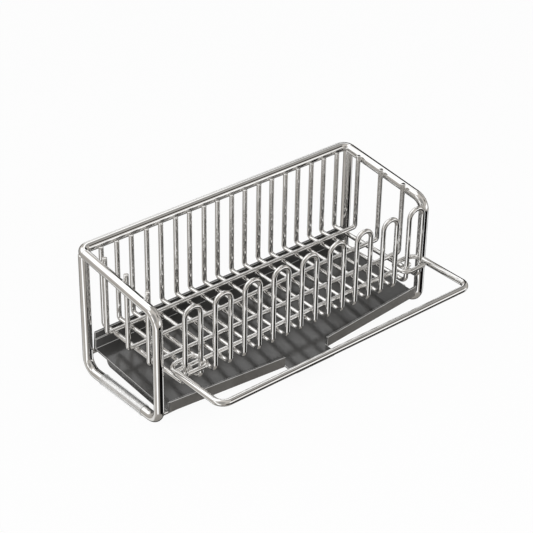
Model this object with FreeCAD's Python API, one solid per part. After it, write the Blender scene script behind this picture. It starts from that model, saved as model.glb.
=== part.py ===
import FreeCAD, Part
import math
import os

# Kitchen sink caddy: bent-rod end frames, a rack of hairpin wires, a drip tray that slides out
# to the front, and a drop-down cloth bar.  Millimetres, X along the rack, +Y to the back, +Z up,
# origin on the ground in the middle of the footprint.  Depths count back from the front posts.

Vector = FreeCAD.Vector

# Round stock and the hairline left at every weld
rod_dia = 7.0
wire_dia = 3.4
bar_dia = 4.7
eye_dia = 3.2
weld_gap = 0.05

# Frame
frame_length = 240.0
rail_depth = 82.0
back_post_depth = 78.6
rail_front_height = 85.15
rail_back_height = 94.95
rod_bend = 9.5
rail_corner_bend = 6.0
post_tuck = 1.2

# Sleeves on the base rails, each with a narrow flat to stand on
sleeve_wall = 0.65
sleeve_flat_depth = 0.3
sleeve_front_depth = 16.2
sleeve_length = 44.6

# Rack
hairpin_count = 9
hairpin_inset = 19.06
leg_spacing = 12.6
leg_reach = 11.4
floor_height = 34.25
arch_height = 90.35
wire_bend = 2.4
leg_bend = 5.0
long_wires = {
    "front_long_wire": {"depth": 16.5, "rise": 6.13},
    "middle_long_wire": {"depth": 39.1, "rise": 5.33},
    "back_long_wire": {"depth": 62.4, "rise": 3.74},
}
tie_wire_reach = 0.45
tie_wire_overhang = 2.06

# Cloth bar, with its ends drawn down to form an eye round each outer hairpin
bar_reach = 54.2
bar_height = 44.35
bar_overhang = 11.86
bar_corner_bend = 7.0
bar_shoulder_reach = 11.0
bar_shoulder_length = 3.0
eye_width = 22.3
eye_back_reach = 0.4
eye_open_gap = 4.4
eye_outer_bend = 7.5
eye_inner_bend = 5.0
eye_clearance = 0.3

# Drip tray, laid out level and then tipped towards the front
tray_side_clearance = 1.2
tray_seat_gap = 0.2
tray_slope = 4.86
tray_floor = 1.3
tray_wall = 1.6
tray_back_reach = 0.4
tray_back_wall_height = 12.8
tray_ledge_height = 7.6
tray_ledge_width = 1.0
tray_skirt_height = 6.3
tray_skirt_inset = 0.8
tray_skirt_front = 0.5
tray_skirt_back = 64.8
tray_skirt_round = 4.5
tray_corner_reach = 3.3
tray_middle_reach = 11.0
tray_corner_round = 3.0
tray_back_round = 0.8
lip_height = 6.9
spout_half_width = 19.0
spout_reach = 21.0

# Wires that carry the tray
front_support_depth = 5.5
front_support_height = 4.3

# Derived sizes and positions
rod_radius = rod_dia / 2.0
wire_radius = wire_dia / 2.0
bar_radius = bar_dia / 2.0
eye_radius = eye_dia / 2.0
end_x = frame_length / 2.0 - rod_radius
front_post_y = (bar_reach + bar_radius - rail_depth - rod_radius) / 2.0
sleeve_radius = rod_radius + weld_gap + sleeve_wall
base_rail_height = sleeve_radius - sleeve_flat_depth
rail_angle = math.atan2(rail_back_height - rail_front_height, rail_depth)
rail_joint_depth = rail_depth - rail_corner_bend * math.cos(rail_angle)
outer_hairpin_x = end_x - hairpin_inset
hairpin_pitch = 2.0 * outer_hairpin_x / (hairpin_count - 1)
tie_wire_half_length = outer_hairpin_x + leg_spacing / 2.0 + tie_wire_overhang
bar_half_span = outer_hairpin_x + bar_overhang
hairpin_back_depth = rail_depth - rod_radius - wire_radius - weld_gap
long_wire_x = end_x - rod_radius - wire_radius - weld_gap
crossing_height = floor_height + wire_dia + weld_gap
eye_front_reach = leg_reach + wire_radius + eye_radius + eye_clearance
slope_sin = math.sin(math.radians(tray_slope))
slope_cos = math.cos(math.radians(tray_slope))
tray_half_width = end_x - rod_radius - tray_side_clearance
tray_back_depth = back_post_depth + tray_back_reach
seat = wire_radius + tray_seat_gap
tray_rise = (tray_skirt_height + seat - front_support_depth * slope_sin) / slope_cos
tray_height = front_support_height + tray_rise
rear_support_height = tray_height + (back_post_depth * slope_sin - tray_floor - seat) / slope_cos


def at(x, depth, height):
    return Vector(x, front_post_y + depth, height)


def rail_height(depth):
    """Height of the sloping end rail's axis."""
    return rail_front_height + depth * math.tan(rail_angle)


def corner_arc(before, corner, after, radius):
    """The tangent arc that rounds a corner: its start, middle and end."""
    arrive = (corner - before).normalize()
    leave = (after - corner).normalize()
    half_turn = arrive.getAngle(leave) / 2.0
    inward = (leave - arrive).normalize()
    setback = radius * math.tan(half_turn)
    middle = corner + inward * (radius / math.cos(half_turn) - radius)
    return corner - arrive * setback, middle, corner + leave * setback


def bent_path(points, radii):
    """An open path through the points, rounded at each inner one."""
    edges = []
    start = points[0]
    for index, radius in enumerate(radii, 1):
        first, middle, last = corner_arc(points[index - 1], points[index], points[index + 1], radius)
        if (first - start).Length > 0.001:
            edges.append(Part.makeLine(start, first))
        edges.append(Part.Arc(first, middle, last).toShape())
        start = last
    edges.append(Part.makeLine(start, points[-1]))
    return Part.Wire(edges)


def rounded_face(points, radii):
    """A flat face inside a closed outline; a radius of zero keeps that corner sharp."""
    edges = []
    count = len(points)
    ends = []
    for index, radius in enumerate(radii):
        corner = points[index]
        if radius == 0.0:
            ends.append((corner, None, corner))
        else:
            ends.append(corner_arc(points[index - 1], corner, points[(index + 1) % count], radius))
    for index, (first, middle, last) in enumerate(ends):
        if middle is not None:
            edges.append(Part.Arc(first, middle, last).toShape())
        edges.append(Part.makeLine(last, ends[(index + 1) % count][0]))
    return Part.Face(Part.Wire(edges))


def rod_along(path, radius):
    """Round stock swept along a path."""
    first = path.OrderedEdges[0]
    start = first.valueAt(first.FirstParameter)
    profile = Part.makeCircle(radius, start, first.tangentAt(first.FirstParameter))
    return path.makePipe(Part.Face(Part.Wire(profile)))


def straight_rod(start, end, radius):
    return Part.makeCylinder(radius, (end - start).Length, start, end - start)


def one_solid(shape):
    return shape.removeSplitter().Solids[0]


def back_rail_path():
    """The back rail with a bend at each end, tipped to meet the sloping end rails squarely."""
    slope = Vector(0.0, math.cos(rail_angle), math.sin(rail_angle))
    left = at(-end_x, rail_joint_depth, rail_height(rail_joint_depth))
    right = at(end_x, rail_joint_depth, rail_height(rail_joint_depth))
    left_corner = left + slope * rail_corner_bend
    right_corner = right + slope * rail_corner_bend
    left_bend = corner_arc(left, left_corner, right_corner, rail_corner_bend)
    right_bend = corner_arc(left_corner, right_corner, right, rail_corner_bend)
    return Part.Wire([
        Part.Arc(*left_bend).toShape(),
        Part.makeLine(left_bend[2], right_bend[0]),
        Part.Arc(*right_bend).toShape(),
    ])


def end_frame_path(side, post_top):
    """Down the back post, along the base, up the front post and back up the sloping rail."""
    x = side * end_x
    points = [
        at(x, back_post_depth, post_top),
        at(x, back_post_depth, base_rail_height),
        at(x, 0.0, base_rail_height),
        at(x, 0.0, rail_front_height),
        at(x, rail_joint_depth, rail_height(rail_joint_depth)),
    ]
    return bent_path(points, [rod_bend] * 3)


def end_frame(side, back_rail_room):
    """One bent rod whose back post ends in a shallow saddle under the corner of the rail."""
    x = side * end_x
    full_top = rail_height(back_post_depth) - rod_radius + post_tuck
    plain_top = full_top - rod_dia
    bent_rod = rod_along(end_frame_path(side, plain_top), rod_radius)
    saddle = straight_rod(at(x, back_post_depth, plain_top), at(x, back_post_depth, full_top), rod_radius)
    rail_start = at(x, rod_bend * 2.0, rail_height(rod_bend * 2.0))
    rail_end = at(x, rail_joint_depth, rail_height(rail_joint_depth))
    own_rail_room = straight_rod(rail_start, rail_end, rod_radius + weld_gap)
    return one_solid(bent_rod.fuse(saddle.cut(back_rail_room).cut(own_rail_room)))


def sleeve(side):
    """A clear tube on the base rail with a flat along its underside."""
    front = at(side * end_x, sleeve_front_depth, base_rail_height)
    back = at(side * end_x, sleeve_front_depth + sleeve_length, base_rail_height)
    tube = straight_rod(front, back, sleeve_radius).cut(straight_rod(front, back, rod_radius + weld_gap))
    corner = Vector(front.x - sleeve_radius, front.y, 0.0)
    above_ground = Part.makeBox(2.0 * sleeve_radius, sleeve_length, 3.0 * sleeve_radius, corner)
    return one_solid(tube.common(above_ground))


def hairpin(x):
    """Down the back, forward along the floor, up over an arch and the same way back."""
    left = x - leg_spacing / 2.0
    right = x + leg_spacing / 2.0
    points = [
        at(left, hairpin_back_depth, rail_back_height),
        at(left, hairpin_back_depth, floor_height),
        at(left, -leg_reach, floor_height),
        at(left, -leg_reach, arch_height),
        at(right, -leg_reach, arch_height),
        at(right, -leg_reach, floor_height),
        at(right, hairpin_back_depth, floor_height),
        at(right, hairpin_back_depth, rail_back_height),
    ]
    arch_bend = leg_spacing / 2.0
    radii = [wire_bend, leg_bend, arch_bend, arch_bend, leg_bend, wire_bend]
    return rod_along(bent_path(points, radii), wire_radius)


def long_wire(depth, rise):
    """Lies across the hairpins and stands up at both ends past the axis of the end rails."""
    top = rail_height(depth) + rise
    points = [
        at(-long_wire_x, depth, top),
        at(-long_wire_x, depth, crossing_height),
        at(long_wire_x, depth, crossing_height),
        at(long_wire_x, depth, top),
    ]
    return rod_along(bent_path(points, [wire_bend, wire_bend]), wire_radius)


def tie_wire():
    start = at(-tie_wire_half_length, -tie_wire_reach, crossing_height)
    end = at(tie_wire_half_length, -tie_wire_reach, crossing_height)
    return straight_rod(start, end, wire_radius)


def support_wire(depth, height, frame_rooms):
    """Runs from one end frame to the other and is coped to both."""
    wire = straight_rod(at(-end_x, depth, height), at(end_x, depth, height), wire_radius)
    for room in frame_rooms:
        wire = wire.cut(room)
    return one_solid(wire)


def bar_eye(side):
    """From the end of the arm's shoulder, round behind an outer hairpin and back in front of it."""
    arm_x = side * bar_half_span
    inner_x = side * (bar_half_span - eye_width)
    points = [
        at(arm_x, bar_shoulder_length - bar_shoulder_reach, bar_height),
        at(arm_x, -eye_back_reach, bar_height),
        at(inner_x, -eye_back_reach, bar_height),
        at(inner_x, -eye_front_reach, bar_height),
        at(arm_x - side * eye_open_gap, -eye_front_reach, bar_height),
    ]
    return rod_along(bent_path(points, [eye_outer_bend, eye_inner_bend, eye_inner_bend]), eye_radius)


def cloth_bar():
    """One bent rod: a long bar on two arms, each arm stepping down to a thinner eye."""
    points = [
        at(-bar_half_span, -bar_shoulder_reach, bar_height),
        at(-bar_half_span, -bar_reach, bar_height),
        at(bar_half_span, -bar_reach, bar_height),
        at(bar_half_span, -bar_shoulder_reach, bar_height),
    ]
    bar = rod_along(bent_path(points, [bar_corner_bend] * 2), bar_radius)
    back = Vector(0.0, 1.0, 0.0)
    for side in (-1, 1):
        start = at(side * bar_half_span, -bar_shoulder_reach, bar_height)
        shoulder = Part.makeCone(bar_radius, eye_radius, bar_shoulder_length, start, back)
        bar = bar.fuse([shoulder, bar_eye(side)])
    return one_solid(bar)


def tray_outline():
    """Plan of the tray: straight sides, a shallow V in front and a spout in its middle."""
    right = [
        Vector(spout_half_width, -spout_reach, 0.0),
        Vector(spout_half_width, -tray_middle_reach, 0.0),
        Vector(tray_half_width, -tray_corner_reach, 0.0),
        Vector(tray_half_width, tray_back_depth, 0.0),
    ]
    left = [Vector(-point.x, point.y, 0.0) for point in reversed(right)]
    rounds = [tray_corner_round, 0.0, tray_corner_round, tray_back_round]
    return rounded_face(right + left, rounds + rounds[::-1])


def tray_front_wall(side):
    """The raised lip along the front edge, from the side of the tray to the spout."""
    corner = Vector(side * tray_half_width, -tray_corner_reach, -tray_floor)
    spout = Vector(side * spout_half_width, -tray_middle_reach, -tray_floor)
    along = (spout - corner).normalize()
    inward = Vector(side * along.y, -side * along.x, 0.0)
    rise = Vector(0.0, 0.0, tray_floor + lip_height)
    face = Part.Face(Part.makePolygon([corner, spout, spout + rise, corner + rise, corner]))
    return face.extrude(inward * tray_wall)


def tray_skirt(side):
    """A rib under the floor, a little in from the side, rounded at both ends."""
    x = side * (tray_half_width - tray_skirt_inset)
    points = [
        Vector(x, tray_skirt_front, 0.0),
        Vector(x, tray_skirt_front, -tray_skirt_height),
        Vector(x, tray_skirt_back, -tray_skirt_height),
        Vector(x, tray_skirt_back, 0.0),
    ]
    profile = rounded_face(points, [0.0, tray_skirt_round, tray_skirt_round, 0.0])
    return profile.extrude(Vector(-side * tray_wall, 0.0, 0.0))


def drip_tray():
    width = 2.0 * tray_half_width
    outline = tray_outline()
    tray = outline.extrude(Vector(0.0, 0.0, -tray_floor))
    for side in (-1, 1):
        tray = tray.fuse([tray_front_wall(side), tray_skirt(side)])
    for thickness, height in (
        (tray_wall, tray_back_wall_height),
        (tray_wall + tray_ledge_width, tray_ledge_height),
    ):
        corner = Vector(-tray_half_width, tray_back_depth - thickness, -tray_floor)
        tray = tray.fuse(Part.makeBox(width, thickness, height + tray_floor, corner))
    column = outline.extrude(Vector(0.0, 0.0, tray_back_wall_height + tray_skirt_height))
    column.translate(Vector(0.0, 0.0, -tray_skirt_height))
    tray = one_solid(tray.common(column))
    tray.rotate(Vector(0.0, 0.0, 0.0), Vector(1.0, 0.0, 0.0), tray_slope)
    tray.translate(at(0.0, 0.0, tray_height))
    return tray


back_rail_room = rod_along(back_rail_path(), rod_radius + weld_gap)
post_room_top = rail_height(back_post_depth) - rod_dia
frame_paths = [end_frame_path(side, post_room_top) for side in (-1, 1)]
frame_rooms = [rod_along(path, rod_radius + weld_gap) for path in frame_paths]

nodes = {"back_rail": rod_along(back_rail_path(), rod_radius)}
for side, side_name in ((-1, "left"), (1, "right")):
    nodes[side_name + "_end_frame"] = end_frame(side, back_rail_room)
    nodes[side_name + "_sleeve"] = sleeve(side)
for number in range(hairpin_count):
    hairpin_x = number * hairpin_pitch - outer_hairpin_x
    nodes["rack_wire_%d" % (number + 1)] = hairpin(hairpin_x)
for wire_name, wire_place in long_wires.items():
    nodes[wire_name] = long_wire(wire_place["depth"], wire_place["rise"])
nodes["front_tie_wire"] = tie_wire()
nodes["front_support_wire"] = support_wire(front_support_depth, front_support_height, frame_rooms)
nodes["rear_support_wire"] = support_wire(back_post_depth, rear_support_height, frame_rooms)
nodes["drip_tray"] = drip_tray()
nodes["cloth_bar"] = cloth_bar()

os.makedirs("parts", exist_ok=True)
for node_name, shape in nodes.items():
    shape.exportStep("parts/%s.step" % node_name)
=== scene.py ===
import math

import bmesh
import bpy
from mathutils import Matrix, Vector


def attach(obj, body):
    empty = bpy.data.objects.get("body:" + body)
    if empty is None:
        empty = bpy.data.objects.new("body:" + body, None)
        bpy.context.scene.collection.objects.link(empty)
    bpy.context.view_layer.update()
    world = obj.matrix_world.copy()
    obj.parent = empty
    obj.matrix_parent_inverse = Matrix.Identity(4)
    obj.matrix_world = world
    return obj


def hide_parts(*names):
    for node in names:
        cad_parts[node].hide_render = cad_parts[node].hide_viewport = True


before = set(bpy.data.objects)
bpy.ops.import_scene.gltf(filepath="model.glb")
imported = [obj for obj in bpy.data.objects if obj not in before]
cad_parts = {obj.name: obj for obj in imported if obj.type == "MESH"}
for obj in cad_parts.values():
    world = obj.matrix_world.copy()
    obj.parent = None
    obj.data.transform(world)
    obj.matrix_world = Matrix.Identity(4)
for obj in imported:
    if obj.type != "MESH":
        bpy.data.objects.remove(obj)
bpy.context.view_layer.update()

# Sizes in millimetres, as in the solids.  Depths count back from the front posts, reaches forward.
MM = 0.001

# Radii of the round stock, and the hairline left at every weld
ROD_RADIUS = 3.5
WIRE_RADIUS = 1.7
BAR_RADIUS = 2.35
EYE_RADIUS = 1.6
WELD_GAP = 0.05

# Frame
END_X = 116.5
RAIL_DEPTH = 82.0
RAIL_FRONT_HEIGHT = 85.15
RAIL_BACK_HEIGHT = 94.95
RAIL_ANGLE = math.atan2(RAIL_BACK_HEIGHT - RAIL_FRONT_HEIGHT, RAIL_DEPTH)
ROD_BEND = 9.5
RAIL_CORNER_BEND = 6.0
RAIL_JOINT_DEPTH = RAIL_DEPTH - RAIL_CORNER_BEND * math.cos(RAIL_ANGLE)
BACK_POST_DEPTH = 78.6
POST_TOP_DROP = 1.5

# Sleeves on the base rails, each with a narrow flat to stand on
SLEEVE_WALL = 0.65
SLEEVE_FLAT_DEPTH = 0.3
SLEEVE_FRONT_DEPTH = 16.2
SLEEVE_LENGTH = 44.6
SLEEVE_RIM = 0.2
SLEEVE_RIM_MIDDLE = 0.3 * SLEEVE_RIM
SLEEVE_INNER_RADIUS = ROD_RADIUS + WELD_GAP
SLEEVE_OUTER_RADIUS = SLEEVE_INNER_RADIUS + SLEEVE_WALL
BASE_HEIGHT = SLEEVE_OUTER_RADIUS - SLEEVE_FLAT_DEPTH

# Rack
HAIRPIN_COUNT = 9
OUTER_HAIRPIN_X = 97.44
HAIRPIN_PITCH = 2.0 * OUTER_HAIRPIN_X / (HAIRPIN_COUNT - 1)
HALF_LEG_SPACING = 6.3
LEG_REACH = 11.4
FLOOR_HEIGHT = 34.25
CROSSING_HEIGHT = FLOOR_HEIGHT + 2.0 * WIRE_RADIUS + WELD_GAP
ARCH_HEIGHT = 90.35
HAIRPIN_BACK_DEPTH = RAIL_DEPTH - ROD_RADIUS - WIRE_RADIUS - WELD_GAP
WIRE_BEND = 2.4
LEG_BEND = 5.0
LONG_WIRE_X = END_X - ROD_RADIUS - WIRE_RADIUS - WELD_GAP
LONG_WIRES = {
    "front": {"depth": 16.5, "rise": 6.13},
    "middle": {"depth": 39.1, "rise": 5.33},
    "back": {"depth": 62.4, "rise": 3.74},
}
TIE_WIRE_REACH = 0.45
TIE_WIRE_OVERHANG = 2.06
TIE_WIRE_HALF_LENGTH = OUTER_HAIRPIN_X + HALF_LEG_SPACING + TIE_WIRE_OVERHANG
SUPPORT_WIRES = {
    "front": {"depth": 5.5, "height": 4.3},
    "rear": {"depth": BACK_POST_DEPTH, "height": 15.5335},
}
SUPPORT_END_INSET = 2.0

# Cloth bar, with its ends drawn down to form an eye round each outer hairpin
BAR_REACH = 54.2
BAR_HEIGHT = 44.35
BAR_OVERHANG = 11.86
BAR_X = OUTER_HAIRPIN_X + BAR_OVERHANG
BAR_CORNER_BEND = 7.0
SHOULDER_REACH = 11.0
SHOULDER_LENGTH = 3.0
EYE_WIDTH = 22.3
EYE_OPEN_GAP = 4.4
EYE_BACK_REACH = 0.4
EYE_CLEARANCE = 0.3
EYE_FRONT_REACH = LEG_REACH + WIRE_RADIUS + EYE_RADIUS + EYE_CLEARANCE
EYE_INNER_BEND = 5.0
EYE_OUTER_BEND = 7.5
FRONT_POST_Y = (BAR_REACH + BAR_RADIUS - RAIL_DEPTH - ROD_RADIUS) / 2.0

# Drip tray: how its edges are softened, which faces are the lip's, the width of the painted highlight line
# on the lip, which faces face the front and get painted light, and the largest face shaded as round
TRAY_SAME_POINT = 0.002
TRAY_FLAT_ANGLE = math.radians(1.0)
TRAY_SHARP_ANGLE = math.radians(40.0)
TRAY_EDGE_ROUND = 0.22
TRAY_EDGE_SEGMENTS = 2
ROUND_PROFILE = 0.5
LARGEST_ROUNDED_FACE = 60.0
LIP_FRONT_REACH = 2.0
LIP_TOP_ABOVE = 16.5
# Width of the painted highlight line along the lip's top front edge
HIGHLIGHT_LINE_WIDTH = 0.4
# Faces turned to the front beyond this get a lighter plastic as painted light
FACING_FRONT = 0.9
LEANING_FRONT = 0.2
FACING_UP = 0.95

# Half sizes of the weld nuggets along X, Y and Z
CROSSING_NUGGET = (1.15, 1.15, 0.75)
BACK_RAIL_NUGGET = (1.1, 0.7, 1.4)
BACK_RAIL_NUGGET_DROP = 1.2
END_RAIL_NUGGET = (0.7, 1.2, 1.6)
SUPPORT_NUGGET = (0.9, 1.9, 1.9)

# Fineness of the meshes, and the rounding of cut ends
ROD_SIDES = 40
BAR_SIDES = 32
WIRE_SIDES = 24
SLEEVE_SIDES = 48
BEND_STEP_DEGREES = 6.0
LEAST_BEND_STEPS = 3
SAME_POINT = 0.001
END_ROUND_DEGREES = (0.0, 30.0, 60.0, 88.0)
CAP_RING_SHARE = 0.5
WIRE_END_ROUND = 0.45
BAR_END_ROUND = 0.5
POST_END_ROUND = 0.3
BUTT_END_ROUND = 0.01


def at(x, depth, height):
    return Vector((x, FRONT_POST_Y + depth, height))


def rail_height(depth):
    """Height of the sloping end rail's axis."""
    return RAIL_FRONT_HEIGHT + depth * math.tan(RAIL_ANGLE)


def hairpin_x(number):
    return number * HAIRPIN_PITCH - OUTER_HAIRPIN_X


def bent_path(corners, bends):
    """Points along straight runs joined by tangent arcs."""
    path = [corners[0]]
    for index, bend in enumerate(bends, 1):
        corner = corners[index]
        arrive = (corner - corners[index - 1]).normalized()
        leave = (corners[index + 1] - corner).normalized()
        turn = arrive.angle(leave)
        inward = (leave - arrive).normalized()
        centre = corner + inward * (bend / math.cos(turn / 2.0))
        start = corner - arrive * (bend * math.tan(turn / 2.0)) - centre
        axis = arrive.cross(leave).normalized()
        count = max(LEAST_BEND_STEPS, math.ceil(math.degrees(turn) / BEND_STEP_DEGREES))
        for tick in range(count + 1):
            point = centre + Matrix.Rotation(turn * tick / count, 3, axis) @ start
            if (point - path[-1]).length > SAME_POINT:
                path.append(point)
    if (corners[-1] - path[-1]).length > SAME_POINT:
        path.append(corners[-1])
    return path


def cross_frames(path):
    """A direction and two sideways axes at each point, carried along without twist."""
    frames = []
    side = None
    for index, point in enumerate(path):
        before = path[max(index - 1, 0)]
        after = path[min(index + 1, len(path) - 1)]
        along = ((after - point).normalized() + (point - before).normalized()).normalized()
        if side is None:
            side = along.orthogonal()
        side = (side - along * side.dot(along)).normalized()
        frames.append((along, side, along.cross(side)))
    return frames


def new_object(name, bm):
    """A smooth object in metres from a mesh in millimetres."""
    mesh = bpy.data.meshes.new(name)
    bmesh.ops.recalc_face_normals(bm, faces=bm.faces)
    bm.to_mesh(mesh)
    bm.free()
    mesh.transform(Matrix.Scale(MM, 4))
    mesh.shade_smooth()
    piece = bpy.data.objects.new(name, mesh)
    bpy.context.scene.collection.objects.link(piece)
    return piece


def add_tube(bm, path, radii, sides, end_rounds):
    """Round stock along a path, closed at both ends, each end with its own edge rounding."""
    sections = list(zip(path, cross_frames(path), radii))
    for end, rounding in zip((0, -1), end_rounds):
        point, axes, radius = sections[end]
        outward = axes[0] * (-1.0 if end == 0 else 1.0)
        rings = []
        for angle in END_ROUND_DEGREES:
            turn = math.radians(angle)
            centre = point - outward * rounding * (1.0 - math.sin(turn))
            rings.append((centre, axes, radius - rounding * (1.0 - math.cos(turn))))
        rings.append((point, axes, (radius - rounding) * CAP_RING_SHARE))
        if end == 0:
            sections[0:1] = rings[::-1]
        else:
            sections[-1:] = rings
    loops = []
    for centre, axes, radius in sections:
        loop = []
        for side in range(sides):
            turn = 2.0 * math.pi * side / sides
            offset = axes[1] * math.cos(turn) + axes[2] * math.sin(turn)
            loop.append(bm.verts.new(centre + offset * radius))
        loops.append(loop)
    for first, second in zip(loops, loops[1:]):
        for side in range(sides):
            other = (side + 1) % sides
            bm.faces.new((first[side], first[other], second[other], second[side]))
    for loop, centre in ((loops[0], sections[0][0]), (loops[-1], sections[-1][0])):
        middle = bm.verts.new(centre)
        for side in range(sides):
            bm.faces.new((loop[side], loop[(side + 1) % sides], middle))


def rod_piece(name, path, radii, node, body, sides, end_rounds):
    """A chromed piece of round stock with a radius for each point of its path."""
    bm = bmesh.new()
    add_tube(bm, path, radii, sides, end_rounds)
    piece = new_object(name, bm)
    piece.data.materials.append(chrome)
    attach(piece, body)
    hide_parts(node)


def frame_rod(name, path, node, end_rounds):
    rod_piece(name, path, [ROD_RADIUS] * len(path), node, "rack", ROD_SIDES, end_rounds)


def rack_wire(name, path, node):
    rod_piece(name, path, [WIRE_RADIUS] * len(path), node, "rack", WIRE_SIDES, [WIRE_END_ROUND] * 2)


# Materials: every colour and finish varies between two values with a noise
NOISE_LOW = 0.3
NOISE_HIGH = 0.7


def node_material(name):
    material = bpy.data.materials.new(name)
    material.use_nodes = True
    nodes = material.node_tree.nodes
    return material, nodes, material.node_tree.links, nodes["Principled BSDF"]


def noise(nodes, links, scale, detail):
    """Noise in metres of the object's own space."""
    place = nodes.new("ShaderNodeTexCoord")
    texture = nodes.new("ShaderNodeTexNoise")
    texture.inputs["Scale"].default_value = scale
    texture.inputs["Detail"].default_value = detail
    links.new(place.outputs["Object"], texture.inputs["Vector"])
    return texture.outputs["Fac"]


def spread_colour(nodes, links, value, dark, light):
    made = nodes.new("ShaderNodeValToRGB")
    stops = ((NOISE_LOW, dark), (NOISE_HIGH, light))
    for element, (place, colour) in zip(made.color_ramp.elements, stops):
        element.position = place
        element.color = (*colour, 1.0)
    links.new(value, made.inputs["Fac"])
    return made.outputs["Color"]


def spread_value(nodes, links, value, low, high):
    made = nodes.new("ShaderNodeMapRange")
    made.inputs["From Min"].default_value = NOISE_LOW
    made.inputs["From Max"].default_value = NOISE_HIGH
    made.inputs["To Min"].default_value = low
    made.inputs["To Max"].default_value = high
    links.new(value, made.inputs["Value"])
    return made.outputs["Result"]


def add_bump(nodes, links, shader, height, strength, distance):
    made = nodes.new("ShaderNodeBump")
    made.inputs["Strength"].default_value = strength
    made.inputs["Distance"].default_value = distance
    links.new(height, made.inputs["Height"])
    links.new(made.outputs["Normal"], shader.inputs["Normal"])


def chrome_material():
    """Polished plating with faint haze, drying marks and ripple."""
    material, nodes, links, shader = node_material("polished_chrome")
    shader.inputs["Metallic"].default_value = 1.0
    haze = noise(nodes, links, scale=140.0, detail=5.0)
    tint = spread_colour(nodes, links, haze, dark=(0.80, 0.795, 0.785), light=(0.87, 0.868, 0.862))
    links.new(tint, shader.inputs["Base Color"])
    marks = noise(nodes, links, scale=420.0, detail=3.0)
    links.new(spread_value(nodes, links, marks, low=0.02, high=0.05), shader.inputs["Roughness"])
    ripple = noise(nodes, links, scale=260.0, detail=2.0)
    add_bump(nodes, links, shader, ripple, strength=0.01, distance=0.0002)
    return material


def tray_material(name, dark, light):
    """Moulded plastic with a satin grain."""
    material, nodes, links, shader = node_material(name)
    shader.inputs["IOR"].default_value = 1.6
    shade = noise(nodes, links, scale=60.0, detail=6.0)
    links.new(spread_colour(nodes, links, shade, dark, light), shader.inputs["Base Color"])
    polish = noise(nodes, links, scale=250.0, detail=4.0)
    links.new(spread_value(nodes, links, polish, low=0.12, high=0.19), shader.inputs["Roughness"])
    grain = noise(nodes, links, scale=3500.0, detail=2.0)
    add_bump(nodes, links, shader, grain, strength=0.04, distance=0.0001)
    return material


def sleeve_material(name, dark, light, thin, dense):
    """Clear soft plastic, a little cloudy."""
    material, nodes, links, shader = node_material(name)
    cloud = noise(nodes, links, scale=220.0, detail=4.0)
    links.new(spread_colour(nodes, links, cloud, dark, light), shader.inputs["Base Color"])
    links.new(spread_value(nodes, links, cloud, low=0.06, high=0.14), shader.inputs["Roughness"])
    links.new(spread_value(nodes, links, cloud, thin, dense), shader.inputs["Alpha"])
    return material


chrome = chrome_material()
tray_plastic = tray_material(
    "satin_dark_plastic", dark=(0.056, 0.055, 0.053), light=(0.076, 0.075, 0.073)
)
# Painted highlight: a much lighter copy of the tray plastic for every softened edge and the lip's top line
tray_highlight_plastic = tray_material(
    "painted_highlight_plastic_edge", dark=(0.46, 0.455, 0.445), light=(0.58, 0.575, 0.565)
)
# Painted light: a lighter copy of the tray plastic for the faces turned to the front, as if lit
tray_lit_front_plastic = tray_material(
    "painted_lit_front_plastic", dark=(0.094, 0.089, 0.082), light=(0.119, 0.114, 0.106)
)
sleeve_plastic = sleeve_material(
    "clear_soft_plastic", dark=(0.90, 0.91, 0.91), light=(0.97, 0.97, 0.97), thin=0.10, dense=0.18
)
# Painted highlight on the sleeves' cut ends: a greyer, more opaque copy of the clear plastic
sleeve_rim_highlight_plastic = sleeve_material(
    "clear_plastic_painted_rim_highlight", dark=(0.42, 0.43, 0.43), light=(0.52, 0.53, 0.53), thin=0.45, dense=0.6
)


def end_frame(side, side_name):
    """Down the back post, along the base, up the front post and back up the sloping rail."""
    x = side * END_X
    corners = [
        at(x, BACK_POST_DEPTH, rail_height(BACK_POST_DEPTH) - POST_TOP_DROP),
        at(x, BACK_POST_DEPTH, BASE_HEIGHT),
        at(x, 0.0, BASE_HEIGHT),
        at(x, 0.0, RAIL_FRONT_HEIGHT),
        at(x, RAIL_JOINT_DEPTH, rail_height(RAIL_JOINT_DEPTH)),
    ]
    path = bent_path(corners, [ROD_BEND] * 3)
    end_rounds = (POST_END_ROUND, BUTT_END_ROUND)
    frame_rod(side_name + "_end_loop", path, side_name + "_end_frame", end_rounds)


def back_rail():
    """Along the back, with a bend at each end that butts against an end frame."""
    corners = [
        at(-END_X, RAIL_JOINT_DEPTH, rail_height(RAIL_JOINT_DEPTH)),
        at(-END_X, RAIL_DEPTH, RAIL_BACK_HEIGHT),
        at(END_X, RAIL_DEPTH, RAIL_BACK_HEIGHT),
        at(END_X, RAIL_JOINT_DEPTH, rail_height(RAIL_JOINT_DEPTH)),
    ]
    path = bent_path(corners, [RAIL_CORNER_BEND] * 2)
    frame_rod("top_rail", path, "back_rail", [BUTT_END_ROUND] * 2)


def hairpin(number):
    """Down the back, forward along the floor, up over an arch and the same way back."""
    left = hairpin_x(number) - HALF_LEG_SPACING
    right = hairpin_x(number) + HALF_LEG_SPACING
    corners = [
        at(left, HAIRPIN_BACK_DEPTH, RAIL_BACK_HEIGHT),
        at(left, HAIRPIN_BACK_DEPTH, FLOOR_HEIGHT),
        at(left, -LEG_REACH, FLOOR_HEIGHT),
        at(left, -LEG_REACH, ARCH_HEIGHT),
        at(right, -LEG_REACH, ARCH_HEIGHT),
        at(right, -LEG_REACH, FLOOR_HEIGHT),
        at(right, HAIRPIN_BACK_DEPTH, FLOOR_HEIGHT),
        at(right, HAIRPIN_BACK_DEPTH, RAIL_BACK_HEIGHT),
    ]
    bends = [WIRE_BEND, LEG_BEND, HALF_LEG_SPACING, HALF_LEG_SPACING, LEG_BEND, WIRE_BEND]
    rack_wire("hairpin_wire_%d" % (number + 1), bent_path(corners, bends), "rack_wire_%d" % (number + 1))


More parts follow.
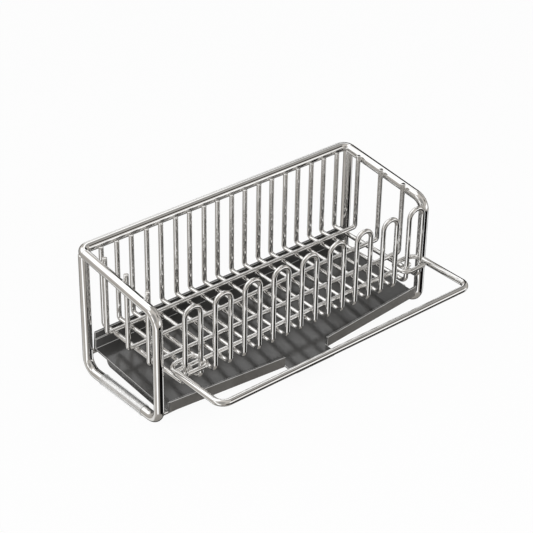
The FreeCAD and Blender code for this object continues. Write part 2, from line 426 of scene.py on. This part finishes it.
def long_wire(name, depth, rise):
    """Lies across the hairpins and stands up at both ends past the axis of the end rails."""
    top = rail_height(depth) + rise
    corners = [
        at(-LONG_WIRE_X, depth, top),
        at(-LONG_WIRE_X, depth, CROSSING_HEIGHT),
        at(LONG_WIRE_X, depth, CROSSING_HEIGHT),
        at(LONG_WIRE_X, depth, top),
    ]
    rack_wire("long_wire_" + name, bent_path(corners, [WIRE_BEND] * 2), name + "_long_wire")


def tie_wire():
    ends = [at(x, -TIE_WIRE_REACH, CROSSING_HEIGHT) for x in (-TIE_WIRE_HALF_LENGTH, TIE_WIRE_HALF_LENGTH)]
    rack_wire("tie_wire", ends, "front_tie_wire")


def support_wire(name, depth, height):
    """Runs from one end frame to the other, with its ends sunk in the rods."""
    end_x = END_X - SUPPORT_END_INSET
    ends = [at(x, depth, height) for x in (-end_x, end_x)]
    rack_wire("tray_rest_" + name, ends, name + "_support_wire")


def cloth_bar():
    """Thin eyes, a short shoulder on each arm, and the thick bar between."""
    eye_inner_x = BAR_X - EYE_WIDTH
    eye_corners = [
        at(EYE_OPEN_GAP - BAR_X, -EYE_FRONT_REACH, BAR_HEIGHT),
        at(-eye_inner_x, -EYE_FRONT_REACH, BAR_HEIGHT),
        at(-eye_inner_x, -EYE_BACK_REACH, BAR_HEIGHT),
        at(-BAR_X, -EYE_BACK_REACH, BAR_HEIGHT),
        at(-BAR_X, SHOULDER_LENGTH - SHOULDER_REACH, BAR_HEIGHT),
    ]
    arm_corners = [
        at(-BAR_X, -SHOULDER_REACH, BAR_HEIGHT),
        at(-BAR_X, -BAR_REACH, BAR_HEIGHT),
        at(0.0, -BAR_REACH, BAR_HEIGHT),
    ]
    eye_path = bent_path(eye_corners, [EYE_INNER_BEND, EYE_INNER_BEND, EYE_OUTER_BEND])
    arm_path = bent_path(arm_corners, [BAR_CORNER_BEND])
    half_path = eye_path + arm_path
    half_radii = [EYE_RADIUS] * len(eye_path) + [BAR_RADIUS] * len(arm_path)
    path = half_path + [Vector((-point.x, point.y, point.z)) for point in half_path[-2::-1]]
    radii = half_radii + half_radii[-2::-1]
    rod_piece("cloth_hanger", path, radii, "cloth_bar", "bar", BAR_SIDES, [BAR_END_ROUND] * 2)


def drip_tray():
    """The solid's outline with every edge softened as a moulding is; the softened edges and a line along
    the lip's top are painted as a highlight, and the front faces painted lighter as if lit.
    """
    body_slot, highlight_edge_slot, lit_front_slot = range(3)
    bm = bmesh.new()
    bm.from_mesh(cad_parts["drip_tray"].data)
    bmesh.ops.scale(bm, vec=(1.0 / MM,) * 3, verts=bm.verts)
    bmesh.ops.remove_doubles(bm, verts=bm.verts, dist=TRAY_SAME_POINT)
    bmesh.ops.dissolve_limit(bm, angle_limit=TRAY_FLAT_ANGLE, verts=bm.verts, edges=bm.edges)
    shared_edges = [edge for edge in bm.edges if len(edge.link_faces) == 2]
    softened = bmesh.ops.bevel(
        bm,
        geom=[edge for edge in shared_edges if edge.calc_face_angle() > TRAY_SHARP_ANGLE],
        offset=TRAY_EDGE_ROUND,
        segments=TRAY_EDGE_SEGMENTS,
        profile=ROUND_PROFILE,
        affect="EDGES",
        clamp_overlap=False,
    )
    bm.normal_update()
    # Painted highlight: every softened edge gets the much lighter plastic
    for face in softened["faces"]:
        face.material_index = highlight_edge_slot
    lip_tops = []
    for face in bm.faces:
        middle = face.calc_center_median()
        # Painted light: faces turned to the front get the lighter copy of the plastic
        if face.normal.y < -FACING_FRONT and middle.y < FRONT_POST_Y - LIP_FRONT_REACH:
            face.material_index = lit_front_slot
        elif face.normal.z > FACING_UP and middle.y < FRONT_POST_Y and middle.z > LIP_TOP_ABOVE:
            lip_tops.append(face)
    # Painted highlight: a thin line along the lip's top front edge gets the much lighter plastic
    inset = bmesh.ops.inset_individual(bm, faces=lip_tops, thickness=HIGHLIGHT_LINE_WIDTH)
    for face in inset["faces"]:
        beside = [other for edge in face.edges for other in edge.link_faces]
        if min(other.normal.y for other in beside) < -LEANING_FRONT:
            face.material_index = highlight_edge_slot
    piece = new_object("tray_moulding", bm)
    for polygon in piece.data.polygons:
        polygon.use_smooth = polygon.area < LARGEST_ROUNDED_FACE * MM ** 2
    slots = {body_slot: tray_plastic, highlight_edge_slot: tray_highlight_plastic, lit_front_slot: tray_lit_front_plastic}
    for index in sorted(slots):
        piece.data.materials.append(slots[index])
    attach(piece, "tray")
    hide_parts("drip_tray")


def sleeve(side, side_name):
    """A clear tube with softened rims, cut flat along its underside; its cut ends carry a painted
    highlight in a greyer, more opaque plastic.
    """
    wall_slot, rim_highlight_slot = range(2)
    front = SLEEVE_FRONT_DEPTH
    back = SLEEVE_FRONT_DEPTH + SLEEVE_LENGTH
    front_end = [
        (front + SLEEVE_RIM, SLEEVE_INNER_RADIUS),
        (front, SLEEVE_INNER_RADIUS + SLEEVE_RIM),
        (front, SLEEVE_OUTER_RADIUS - SLEEVE_RIM),
        (front + SLEEVE_RIM_MIDDLE, SLEEVE_OUTER_RADIUS - SLEEVE_RIM_MIDDLE),
        (front + SLEEVE_RIM, SLEEVE_OUTER_RADIUS),
    ]
    back_end = [(front + back - depth, radius) for depth, radius in reversed(front_end)]
    profile = front_end + back_end
    walls = (len(front_end) - 1, len(profile) - 1)
    bm = bmesh.new()
    loops = []
    for depth, radius in profile:
        loop = []
        for tick in range(SLEEVE_SIDES):
            turn = 2.0 * math.pi * tick / SLEEVE_SIDES
            height = max(BASE_HEIGHT + radius * math.sin(turn), 0.0)
            loop.append(bm.verts.new(at(side * END_X + radius * math.cos(turn), depth, height)))
        loops.append(loop)
    for index, loop in enumerate(loops):
        after = loops[(index + 1) % len(loops)]
        for tick in range(SLEEVE_SIDES):
            other = (tick + 1) % SLEEVE_SIDES
            face = bm.faces.new((loop[tick], loop[other], after[other], after[tick]))
            # Painted highlight: the rim faces at both cut ends get the greyer, more opaque plastic
            face.material_index = wall_slot if index in walls else rim_highlight_slot
    piece = new_object(side_name + "_foot_sleeve", bm)
    piece.data.materials.append(sleeve_plastic)
    piece.data.materials.append(sleeve_rim_highlight_plastic)
    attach(piece, "rack")
    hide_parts(side_name + "_sleeve")


def add_nugget(bm, centre, sizes):
    made = bmesh.ops.create_icosphere(bm, subdivisions=2, radius=1.0)
    for vert in made["verts"]:
        vert.co = Vector((vert.co.x * sizes[0], vert.co.y * sizes[1], vert.co.z * sizes[2])) + centre


def weld_nuggets():
    """Where wires cross each other or touch the frame."""
    bm = bmesh.new()
    crossing_depths = [-TIE_WIRE_REACH] + [wire["depth"] for wire in LONG_WIRES.values()]
    crossing_middle = (FLOOR_HEIGHT + CROSSING_HEIGHT) / 2.0
    back_touch_depth = HAIRPIN_BACK_DEPTH + WIRE_RADIUS
    back_touch_height = RAIL_BACK_HEIGHT - BACK_RAIL_NUGGET_DROP
    for number in range(HAIRPIN_COUNT):
        for offset in (-HALF_LEG_SPACING, HALF_LEG_SPACING):
            leg_x = hairpin_x(number) + offset
            for depth in crossing_depths:
                add_nugget(bm, at(leg_x, depth, crossing_middle), CROSSING_NUGGET)
            add_nugget(bm, at(leg_x, back_touch_depth, back_touch_height), BACK_RAIL_NUGGET)
    for side in (-1.0, 1.0):
        for wire in LONG_WIRES.values():
            touch = at(side * (LONG_WIRE_X + WIRE_RADIUS), wire["depth"], rail_height(wire["depth"]))
            add_nugget(bm, touch, END_RAIL_NUGGET)
        for wire in SUPPORT_WIRES.values():
            touch = at(side * (END_X - ROD_RADIUS), wire["depth"], wire["height"])
            add_nugget(bm, touch, SUPPORT_NUGGET)
    welds = new_object("weld_nuggets", bm)
    welds.data.materials.append(chrome)
    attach(welds, "rack")


end_frame(-1.0, "left")
end_frame(1.0, "right")
back_rail()
for hairpin_number in range(HAIRPIN_COUNT):
    hairpin(hairpin_number)
for wire_name, wire_place in LONG_WIRES.items():
    long_wire(wire_name, wire_place["depth"], wire_place["rise"])
tie_wire()
for wire_name, wire_place in SUPPORT_WIRES.items():
    support_wire(wire_name, wire_place["depth"], wire_place["height"])
cloth_bar()
drip_tray()
sleeve(-1.0, "left")
sleeve(1.0, "right")
weld_nuggets()

# Stage, in metres.  The floor gives the camera this share of plain white, and the shadow the rest.
FLOOR_HALF_SIZE = 3.0
FLOOR_DROP = 0.0002
FLOOR_COLOUR = (0.86, 0.86, 0.86)
FLOOR_WHITE_SHARE = 0.94
KEY_LIGHT_PLACE = Vector((-0.9, -1.5, 0.9))
KEY_LIGHT_AIM = Vector((0.0, 0.0, 0.05))
KEY_LIGHT_SIZE = 1.6
KEY_LIGHT_POWER = 28.0
SOFT_LIGHT = (0.6, 0.6, 0.6)
WHITE = (1.0, 1.0, 1.0)

CAMERA_AZIMUTH = math.radians(-40.85)
CAMERA_ELEVATION = math.radians(31.68)
CAMERA_ROLL = math.radians(1.006)
CAMERA_PLACE = Vector((-0.658816, -0.744561, 0.68282))
CAMERA_LENS = 118.112
CAMERA_SENSOR = 36.0
CAMERA_NEAR = 0.05
CAMERA_FAR = 20.0

# Level directions from the caddy to the camera's side and to the camera's right, and straight up
toward = Vector((math.sin(CAMERA_AZIMUTH), -math.cos(CAMERA_AZIMUTH), 0.0))
level = Vector((math.cos(CAMERA_AZIMUTH), math.sin(CAMERA_AZIMUTH), 0.0))
zenith = Vector((0.0, 0.0, 1.0))


def grey(brightness):
    return (brightness,) * 3


# The studio that bright metal mirrors: soft panels before walls of a warm grey, lighter upwards.
# Each panel has its turn from the camera's side to the right, its height, the angles from its middle
# where it is full and where it ends, all in degrees, and its colour.  Later panels cover earlier ones.
STUDIO_WALL_LOW = (0.29, 0.274, 0.255)
STUDIO_WALL_HIGH = (0.64, 0.607, 0.568)
STUDIO_PANELS = [
    (180.0, -31.0, 36.0, 54.0, (0.05, 0.05, 0.045)),
    (-112.0, 50.0, 29.0, 35.0, grey(1.3)),
    (-5.0, 32.0, 16.0, 30.0, (0.30, 0.295, 0.285)),
    (-62.0, 22.0, 8.0, 13.0, grey(1.3)),
    (-47.0, 2.0, 9.0, 13.0, grey(1.3)),
    (-34.0, -16.0, 9.0, 13.0, grey(1.3)),
    (135.0, 55.0, 20.0, 30.0, (0.36, 0.35, 0.335)),
    (-172.0, 10.0, 10.0, 16.0, grey(1.1)),
    (178.0, 47.0, 9.0, 12.0, grey(1.4)),
    (170.0, 30.0, 8.0, 10.0, grey(0.003)),
    (165.0, 20.0, 8.0, 12.0, grey(0.005)),
    (84.0, 36.0, 8.0, 12.0, (0.03, 0.03, 0.028)),
    (-110.0, -46.0, 10.0, 20.0, (0.85, 0.84, 0.82)),
    (-70.0, -31.0, 10.0, 22.0, (0.50, 0.475, 0.445)),
    (-24.0, -31.0, 11.0, 16.0, grey(1.3)),
    (116.0, -30.0, 9.0, 14.0, grey(1.1)),
    (42.0, -31.0, 14.0, 18.0, grey(0.003)),
    (62.0, -31.0, 13.0, 17.0, grey(0.005)),
    (82.0, -34.0, 15.0, 18.0, grey(0.005)),
    (100.0, -48.0, 6.0, 10.0, grey(0.05)),
    (62.0, 2.0, 9.0, 13.0, grey(1.3)),
    (78.0, 2.0, 9.0, 13.0, grey(1.3)),
    (94.0, 2.0, 9.0, 13.0, grey(1.3)),
]


def pale_floor():
    """A floor that the camera sees as white under the shadow, and that bright metal doesn't mirror."""
    bm = bmesh.new()
    bmesh.ops.create_grid(bm, x_segments=1, y_segments=1, size=FLOOR_HALF_SIZE / MM)
    floor = new_object("floor", bm)
    floor.location.z = -FLOOR_DROP
    floor.visible_glossy = False
    material, nodes, links, shader = node_material("pale_floor")
    nodes.remove(shader)
    diffuse = nodes.new("ShaderNodeBsdfDiffuse")
    diffuse.inputs["Color"].default_value = (*FLOOR_COLOUR, 1.0)
    glow = nodes.new("ShaderNodeEmission")
    glow.inputs["Color"].default_value = (*WHITE, 1.0)
    path = nodes.new("ShaderNodeLightPath")
    share = nodes.new("ShaderNodeMath")
    share.operation = "MULTIPLY"
    share.inputs[1].default_value = FLOOR_WHITE_SHARE
    mix = nodes.new("ShaderNodeMixShader")
    links.new(path.outputs["Is Camera Ray"], share.inputs[0])
    links.new(share.outputs[0], mix.inputs["Fac"])
    links.new(diffuse.outputs[0], mix.inputs[1])
    links.new(glow.outputs[0], mix.inputs[2])
    links.new(mix.outputs[0], nodes["Material Output"].inputs["Surface"])
    floor.data.materials.append(material)


def wall_colour(nodes, links, direction):
    """The studio's wall, from its low to its high colour with the height of the direction."""
    upward = nodes.new("ShaderNodeSeparateXYZ")
    links.new(direction, upward.inputs["Vector"])
    climb = nodes.new("ShaderNodeMapRange")
    climb.inputs["From Min"].default_value = -1.0
    climb.inputs["From Max"].default_value = 1.0
    links.new(upward.outputs["Z"], climb.inputs["Value"])
    wall = nodes.new("ShaderNodeMixRGB")
    wall.inputs["Color1"].default_value = (*STUDIO_WALL_LOW, 1.0)
    wall.inputs["Color2"].default_value = (*STUDIO_WALL_HIGH, 1.0)
    links.new(climb.outputs["Result"], wall.inputs["Fac"])
    return wall.outputs["Color"]


def panel_over(nodes, links, direction, behind, panel):
    """One soft round panel laid over what is behind it."""
    turn, height, full, end, colour = panel
    around = math.radians(turn)
    rise = math.radians(height)
    flat = toward * math.cos(around) + level * math.sin(around)
    nearness = nodes.new("ShaderNodeVectorMath")
    nearness.operation = "DOT_PRODUCT"
    nearness.inputs[1].default_value = flat * math.cos(rise) + zenith * math.sin(rise)
    links.new(direction, nearness.inputs[0])
    share = nodes.new("ShaderNodeMapRange")
    share.interpolation_type = "SMOOTHSTEP"
    share.inputs["From Min"].default_value = math.cos(math.radians(end))
    share.inputs["From Max"].default_value = math.cos(math.radians(full))
    links.new(nearness.outputs["Value"], share.inputs["Value"])
    mix = nodes.new("ShaderNodeMixRGB")
    mix.inputs["Color2"].default_value = (*colour, 1.0)
    links.new(share.outputs["Result"], mix.inputs["Fac"])
    links.new(behind, mix.inputs["Color1"])
    return mix.outputs["Color"]


def studio_world():
    """White to the camera, the studio to bright metal and an even soft light to all else."""
    world = bpy.data.worlds.new("studio")
    bpy.context.scene.world = world
    world.use_nodes = True
    nodes = world.node_tree.nodes
    links = world.node_tree.links
    direction = nodes.new("ShaderNodeTexCoord").outputs["Generated"]
    colour = wall_colour(nodes, links, direction)
    for panel in STUDIO_PANELS:
        colour = panel_over(nodes, links, direction, colour, panel)
    path = nodes.new("ShaderNodeLightPath")
    light = nodes.new("ShaderNodeMixRGB")
    light.inputs["Color1"].default_value = (*SOFT_LIGHT, 1.0)
    light.inputs["Color2"].default_value = (*WHITE, 1.0)
    links.new(path.outputs["Is Camera Ray"], light.inputs["Fac"])
    seen = nodes.new("ShaderNodeMixRGB")
    links.new(path.outputs["Is Glossy Ray"], seen.inputs["Fac"])
    links.new(light.outputs["Color"], seen.inputs["Color1"])
    links.new(colour, seen.inputs["Color2"])
    links.new(seen.outputs["Color"], nodes["Background"].inputs["Color"])


def key_light():
    lamp = bpy.data.lights.new("key_light", "AREA")
    lamp.size = KEY_LIGHT_SIZE
    lamp.energy = KEY_LIGHT_POWER
    light = bpy.data.objects.new("key_light", lamp)
    bpy.context.scene.collection.objects.link(light)
    light.location = KEY_LIGHT_PLACE
    light.rotation_euler = (KEY_LIGHT_AIM - KEY_LIGHT_PLACE).to_track_quat("-Z", "Y").to_euler()
    light.visible_glossy = False


def studio_camera():
    camera = bpy.data.objects.new("camera", bpy.data.cameras.new("camera"))
    bpy.context.scene.collection.objects.link(camera)
    camera.data.lens = CAMERA_LENS
    camera.data.sensor_width = CAMERA_SENSOR
    camera.data.clip_start = CAMERA_NEAR
    camera.data.clip_end = CAMERA_FAR
    back = toward * math.cos(CAMERA_ELEVATION) + zenith * math.sin(CAMERA_ELEVATION)
    upright = back.cross(level)
    right = level * math.cos(CAMERA_ROLL) + upright * math.sin(CAMERA_ROLL)
    up = upright * math.cos(CAMERA_ROLL) - level * math.sin(CAMERA_ROLL)
    turned = Matrix((right, up, back)).transposed()
    camera.matrix_world = Matrix.Translation(CAMERA_PLACE) @ turned.to_4x4()
    bpy.context.scene.camera = camera
    bpy.context.scene.view_settings.view_transform = "Standard"


pale_floor()
studio_world()
key_light()
studio_camera()
